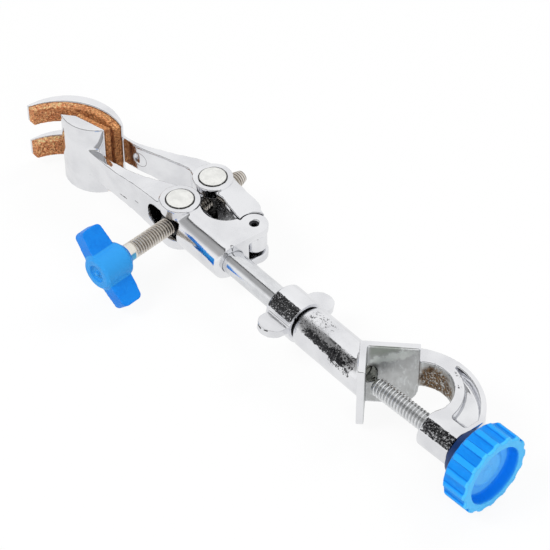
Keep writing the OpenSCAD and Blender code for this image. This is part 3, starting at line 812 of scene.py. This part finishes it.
def veeInside(bench, place):
    # the vee's inner faces, the hole at its apex and the hook's inner wall, without their edges
    x, y, z = bench.split(place)
    level = bench.absolute(z)
    walls = bench.rise(x - vee["apex"] - bench.absolute(y), -0.45, -0.05)
    walls = walls * bench.fall(level, vee["high"] - 0.8, vee["high"] - 0.35)
    walls = walls * bench.fall(x, vee["end"], vee["end"] + 0.5)
    hole = bench.fall(bench.absolute(x - vee["apex"] + 2.2), 2.1, 2.4)
    hole = hole * bench.fall(bench.absolute(y), 2.4, 2.9) * bench.fall(level, 4.6, 5.4)
    cx, cy = vee["hookCentre"]
    inner, top = vee["hookRadius"], vee["hookHigh"]
    hook = bench.fall(bench.radius(x - cx, y - cy), inner + 0.1, inner + 0.5)
    hook = hook * bench.fall(level, top - 0.7, top - 0.25) * bench.rise(x, 1.2, 1.8) * bench.rise(y, 1.5, 3.0)
    return bench.least(walls + hole + hook, 1.0)


def streak(bench, place, start, slope, half, far=0.8, length=20.0):
    # a slanting band of the vee's far wall: its height at the apex, its slope along the wall, half its width
    x, y, z = bench.split(place)
    along = (x + y - vee["apex"]) * math.sqrt(0.5)
    wall = bench.rise(y, 0.3, 1.0) * bench.fall(bench.absolute(x - vee["apex"] - y), 0.4, 0.8)
    off = strayed(bench, place, z - start - slope * along, 6.0, 0.38, 5.0, 0.68)
    band = bench.fall(bench.absolute(off), half * 0.3, half)
    return band * wall * bench.fall(along, length * 0.5, length * far)


bossLooks = {
    "dull": [(veeInside, {})],
    "smearsAndShade": [
        (wrap, dict(x=(-34.0, -11.0), span=(30, 52), soft=9, endSoft=2.0, wander=22, wanderScale=0.4),
         (0.45, 0.45, 0.46, 1)),
        (streak, dict(start=9.5, slope=0.40, half=4.0), (0.33, 0.36, 0.32, 1)),
        (streak, dict(start=4.8, slope=0.42, half=1.9), (0.84, 0.88, 0.85, 1)),
        # a painted shadow over the opening at the vee's apex
        (blot, dict(centre=(-6.9, 1.6, 3.4), size=(2.3, 2.3, 2.9), soft=0.9, wander=0.4),
         (0.03, 0.035, 0.03, 1)),
    ],
    "pitsAndShade": [
        # along the sleeve: pitting, with painted dark reflections
        (wrap, dict(x=(-29.0, -14.5), span=(46, 58), soft=24, drop=5, endSoft=5.5, wander=24, wanderScale=0.4,
                    speck=0.1, dark=0.95, scale=2.0)),
        (wrap, dict(x=(-35.2, -28.0), span=(26, 44), soft=14, endSoft=2.5, wander=24, wanderScale=0.4,
                    speck=0.8, dark=0.85, scale=2.1)),
        (wrap, dict(x=(-18.5, -9.8), span=(30, 70), soft=8, endSoft=1.5, wander=22,
                    speck=0.62, dark=0.9, scale=1.0)),
        (wrap, dict(x=(-35.3, -24.0), span=(-14, 22), soft=14, endSoft=2.0, wander=30,
                    speck=0.95, dark=0.8, scale=1.0)),
        # the neck inside the lock ring, painted near-black as painted shade
        (wrap, dict(x=(-46, -35.95), span=allRound, endSoft=0.1, deepest=7.3, speck=-0.5, dark=0.97)),
        # the tube of the boss screw
        (wrap, dict(x=(9.0, 20.5), span=(18, 58), soft=2, wander=6, wanderScale=1.1,
                    speck=0.28, dark=0.97, scale=1.7, **bossLine)),
        # the vee's far edge and the hook
        (slab, dict(centre=(5.4, 13.9, 7.0), size=(1.3, 1.3, 5.6), soft=0.3, turn=45, wander=1.2,
                    wanderScale=0.8, speck=1.0, dark=0.9)),
        (blot, dict(centre=(13.0, 17.3, 5.5), size=(2.2, 1.5, 1.2), soft=0.6, wander=0.8, speck=0.9)),
        (blot, dict(centre=(17.0, 14.0, 5.5), size=(1.8, 1.2, 1.2), soft=0.6, wander=0.8, speck=0.9)),
    ],
    "stains": [
        (blot, dict(centre=(6.6, 14.6, -1.2), size=(8.8, 4.4, 6.2), soft=0.4, wander=0.7, wanderScale=0.35)),
        (blot, dict(centre=(6.4, 14.4, 11.9), size=(2.2, 2.2, 1.6), soft=0.5, wander=0.4)),
    ],
}
ringLooks = {
    "pitsAndShade": [
        (wrap, dict(x=(-47.6, -36.6), span=(17, 58), soft=2.5, wander=4, wanderScale=1.3,
                    speck=0.20, dark=0.95, scale=1.9)),
        (slab, dict(centre=(-42.3, -14.0, 3.1), size=(1.3, 0.7, 0.34), soft=0.4, turn=-12, speck=-1.0)),
        (slab, dict(centre=(-39.4, -13.7, 3.3), size=(0.8, 0.7, 0.26), soft=0.4, turn=14, speck=-1.0)),
    ],
}
cutPlace = (-88.7, 11.0, 0.0)        # the round cut between the barrels and the pivot, where painted shade goes
bodyLooks = {
    "pitsAndShade": [
        # painted shade in the round cut
        (puck, dict(centre=cutPlace, radius=8.3, high=5.6, speck=0.1, dark=0.95)),
        (slab, dict(centre=(-100.4, -2.4, 0), size=(8.8, 2.8, 4.5), soft=0.08, speck=-0.2, dark=0.95)),
        # painted shadow lines along the fixed arm's side
        (slab, dict(centre=(-121.0, -6.4, -2.7), size=(3.8, 1.3, 0.34), soft=0.7, wander=0.6,
                    speck=0.1, dark=0.85)),
        (slab, dict(centre=(-114.0, -6.2, -0.6), size=(1.5, 1.3, 0.25), soft=0.7, wander=0.6,
                    speck=0.1, dark=0.8)),
    ],
}
armLooks = {
    "pitsAndShade": [
        # painted shade in the round cut
        (puck, dict(centre=cutPlace, radius=8.3, high=4.9, speck=0.1, dark=0.95)),
        (hoop, dict(centre=(-129.2, 7.0, -0.1), radius=2.7, speck=-1.0, dark=0.45)),
    ],
}
bossCasting = platedCasting("bossCasting", **bossLooks)
ringCasting = platedCasting("ringCasting", **ringLooks)
bodyCasting = platedCasting("bodyCasting", **bodyLooks)
armCasting = platedCasting("armCasting", **armLooks)


# knobs: where each painted highlight and painted shade begins and ends, along the boss screw's line or out
# from it

knobZones = {
    "collarEnd": (24.4, 24.9),
    "ridgeHighlight": (12.80, 13.0), "fluteFoot": (12.42, 12.6), "fluteTop": (12.6, 12.8), "fluteEnd": (33.0, 33.4),
    "face": (33.35, 33.75), "rim": (9.6, 10.2),
    "floor": (29.0, 29.5), "domeEdge": (8.3, 9.1),
    "wallFoot": (29.4, 30.0), "wallInner": (8.6, 9.2), "wallOuter": (9.9, 10.2),
}


def knobLightAndShade(bench, place):
    # painted light and shade on the knob's one plastic: painted shade on the navy cone behind the fluted rim
    # and beside the ridges, painted highlights on the ridges, the rim, the domed centre and the recess wall,
    # round a darker dish
    zone = knobZones
    along, across, up = bench.split(turned(bench, place, **bossLine))
    radius = bench.radius(across, up)
    collarShade = bench.fall(along, *zone["collarEnd"])
    ridgeHighlight = bench.rise(radius, *zone["ridgeHighlight"])
    fluteShade = bench.rise(radius, *zone["fluteFoot"]) * bench.fall(radius, *zone["fluteTop"])
    fluteShade = fluteShade * bench.fall(along, *zone["fluteEnd"])
    rim = bench.rise(along, *zone["face"]) * bench.rise(radius, *zone["rim"])
    domeHighlight = bench.rise(along, *zone["floor"]) * bench.fall(radius, *zone["domeEdge"])
    wall = bench.rise(along, *zone["wallFoot"]) * bench.rise(radius, *zone["wallInner"])
    wall = wall * bench.fall(radius, *zone["wallOuter"])
    return [(ridgeHighlight, (0.014, 0.34, 0.87, 1)), (fluteShade, (0.0, 0.15, 0.62, 1)), (wall, (0.002, 0.23, 0.86, 1)),
            (rim, (0.07, 0.50, 0.94, 1)), (domeHighlight, (0.10, 0.46, 0.92, 1)), (collarShade, (0.0, 0.022, 0.11, 1))]


def wingHubSheen(bench, place):
    # a painted highlight: the hub is painted paler than the wings
    hubSheen = wrap(bench, place, x=(-39, -25.5), span=allRound, deepest=6.2, **clampLine)
    return [(hubSheen * 0.8, (0.035, 0.33, 0.76, 1))]


bluePlastic = mouldedPlastic("bluePlastic", (0.002, 0.185, 0.70, 1), (0.005, 0.225, 0.77, 1), wingHubSheen)
knobPlastic = mouldedPlastic("knobPlastic", (0.001, 0.22, 0.74, 1), (0.003, 0.26, 0.80, 1), knobLightAndShade)
corkGrain = pressedCork("corkGrain")
blackened = darkSteel("blackened", (0.030, 0.030, 0.033, 1), (0.085, 0.085, 0.09, 1), metal=1.0)
endSteel = darkSteel("endSteel", (0.24, 0.25, 0.20, 1), (0.46, 0.47, 0.42, 1), metal=0.2)
rodSteel = turnedSteel("rodSteel", (0.80, 0.81, 0.83, 1), (0.68, 0.69, 0.71, 1), rough=0.08,
                       lineAxis=(0.12, 1.0, 1.0), lineScale=4.0, lineDepth=0.5)
print("finishes made")

castRub = {"depth": 0.05, "scale": 0.16}
ringRub = {"depth": 0.03, "scale": 0.16}
mouldRub = {"depth": 0.04, "scale": 0.3}
crumbs = {"sunk": 0.10, "deep": 0.11, "coarse": 1.3, "fine": 3.1}
reshaped = {
    "bossHead": {"node": "boss_head", "body": "boss", "slot": "plated_casting", "finish": bossCasting,
                 "voxel": 0.31, "smooth": 6, "wear": rub, "seed": 1, "wearBy": castRub},
    "lockRing": {"node": "lock_ring", "body": "lock_ring", "slot": "plated_casting", "finish": ringCasting,
                 "voxel": 0.20, "smooth": 4, "wear": rub, "seed": 2, "wearBy": ringRub},
    "clampBody": {"node": "clamp_body", "body": "clamp", "slot": "plated_casting", "finish": bodyCasting,
                  "voxel": 0.34, "smooth": 7, "wear": rub, "seed": 3, "wearBy": castRub},
    "movingArm": {"node": "moving_jaw_arm", "body": "jaw_arm", "slot": "plated_casting", "finish": armCasting,
                  "voxel": 0.34, "smooth": 6, "wear": rub, "seed": 4, "wearBy": castRub},
    "bossKnob": {"node": "boss_knob", "body": "boss_knob", "slot": "blue_plastic", "finish": knobPlastic,
                 "voxel": 0.24, "smooth": 5, "wear": rub, "seed": 5, "wearBy": mouldRub},
    "wingKnob": {"node": "wing_knob", "body": "clamp_screw", "slot": "blue_plastic", "finish": bluePlastic,
                 "voxel": 0.22, "smooth": 7, "wear": rub, "seed": 6, "wearBy": mouldRub},
    "fixedJawCork": {"node": "fixed_jaw_cork", "body": "clamp", "slot": "cork", "finish": corkGrain,
                     "voxel": 0.22, "smooth": 3, "wear": crumble, "seed": 1, "wearBy": crumbs},
    "movingJawCork": {"node": "moving_jaw_cork", "body": "jaw_arm", "slot": "cork", "finish": corkGrain,
                      "voxel": 0.24, "smooth": 3, "wear": crumble, "seed": 2, "wearBy": crumbs},
}
for name, plan in reshaped.items():
    piece = solidCopy(plan["node"], name, plan["voxel"], plan["smooth"])
    plan["wear"](piece, plan["seed"], **plan["wearBy"])
    dress(piece, plan["finish"])
    seat(piece, plan["body"], plan["node"])

barrels = {
    "frontBarrel": {"node": "front_barrel", "body": "front_barrel", "voxel": 0.22, "smooth": 3},
    "rearBarrel": {"node": "rear_barrel", "body": "rear_barrel", "voxel": 0.22, "smooth": 3},
}
for name, plan in barrels.items():
    piece = solidCopy(plan["node"], name, plan["voxel"], plan["smooth"])
    spots = [v.co for v in piece.data.vertices]
    low, high = ([pick(p[i] for p in spots) for i in range(3)] for pick in (min, max))
    centre = tuple((a + b) / 2 for a, b in zip(low, high))
    dress(piece, barrelMetal(name + "Face", centre, (high[0] - low[0]) / 2, (high[2] - low[2]) / 2))
    seat(piece, plan["body"], plan["node"])

# CAD nodes whose shape is right keep it and get a finish
kept = {"rod": rodSteel, "rod_end_screw": endSteel, "pivot_pin": blackened, "screw_clips": blackened}
for node, material in kept.items():
    mesh = frame["nodes"][node].data
    for i in range(len(mesh.materials)):
        mesh.materials[i] = material
    if not mesh.materials:
        mesh.materials.append(material)
print("materials on the CAD nodes set")
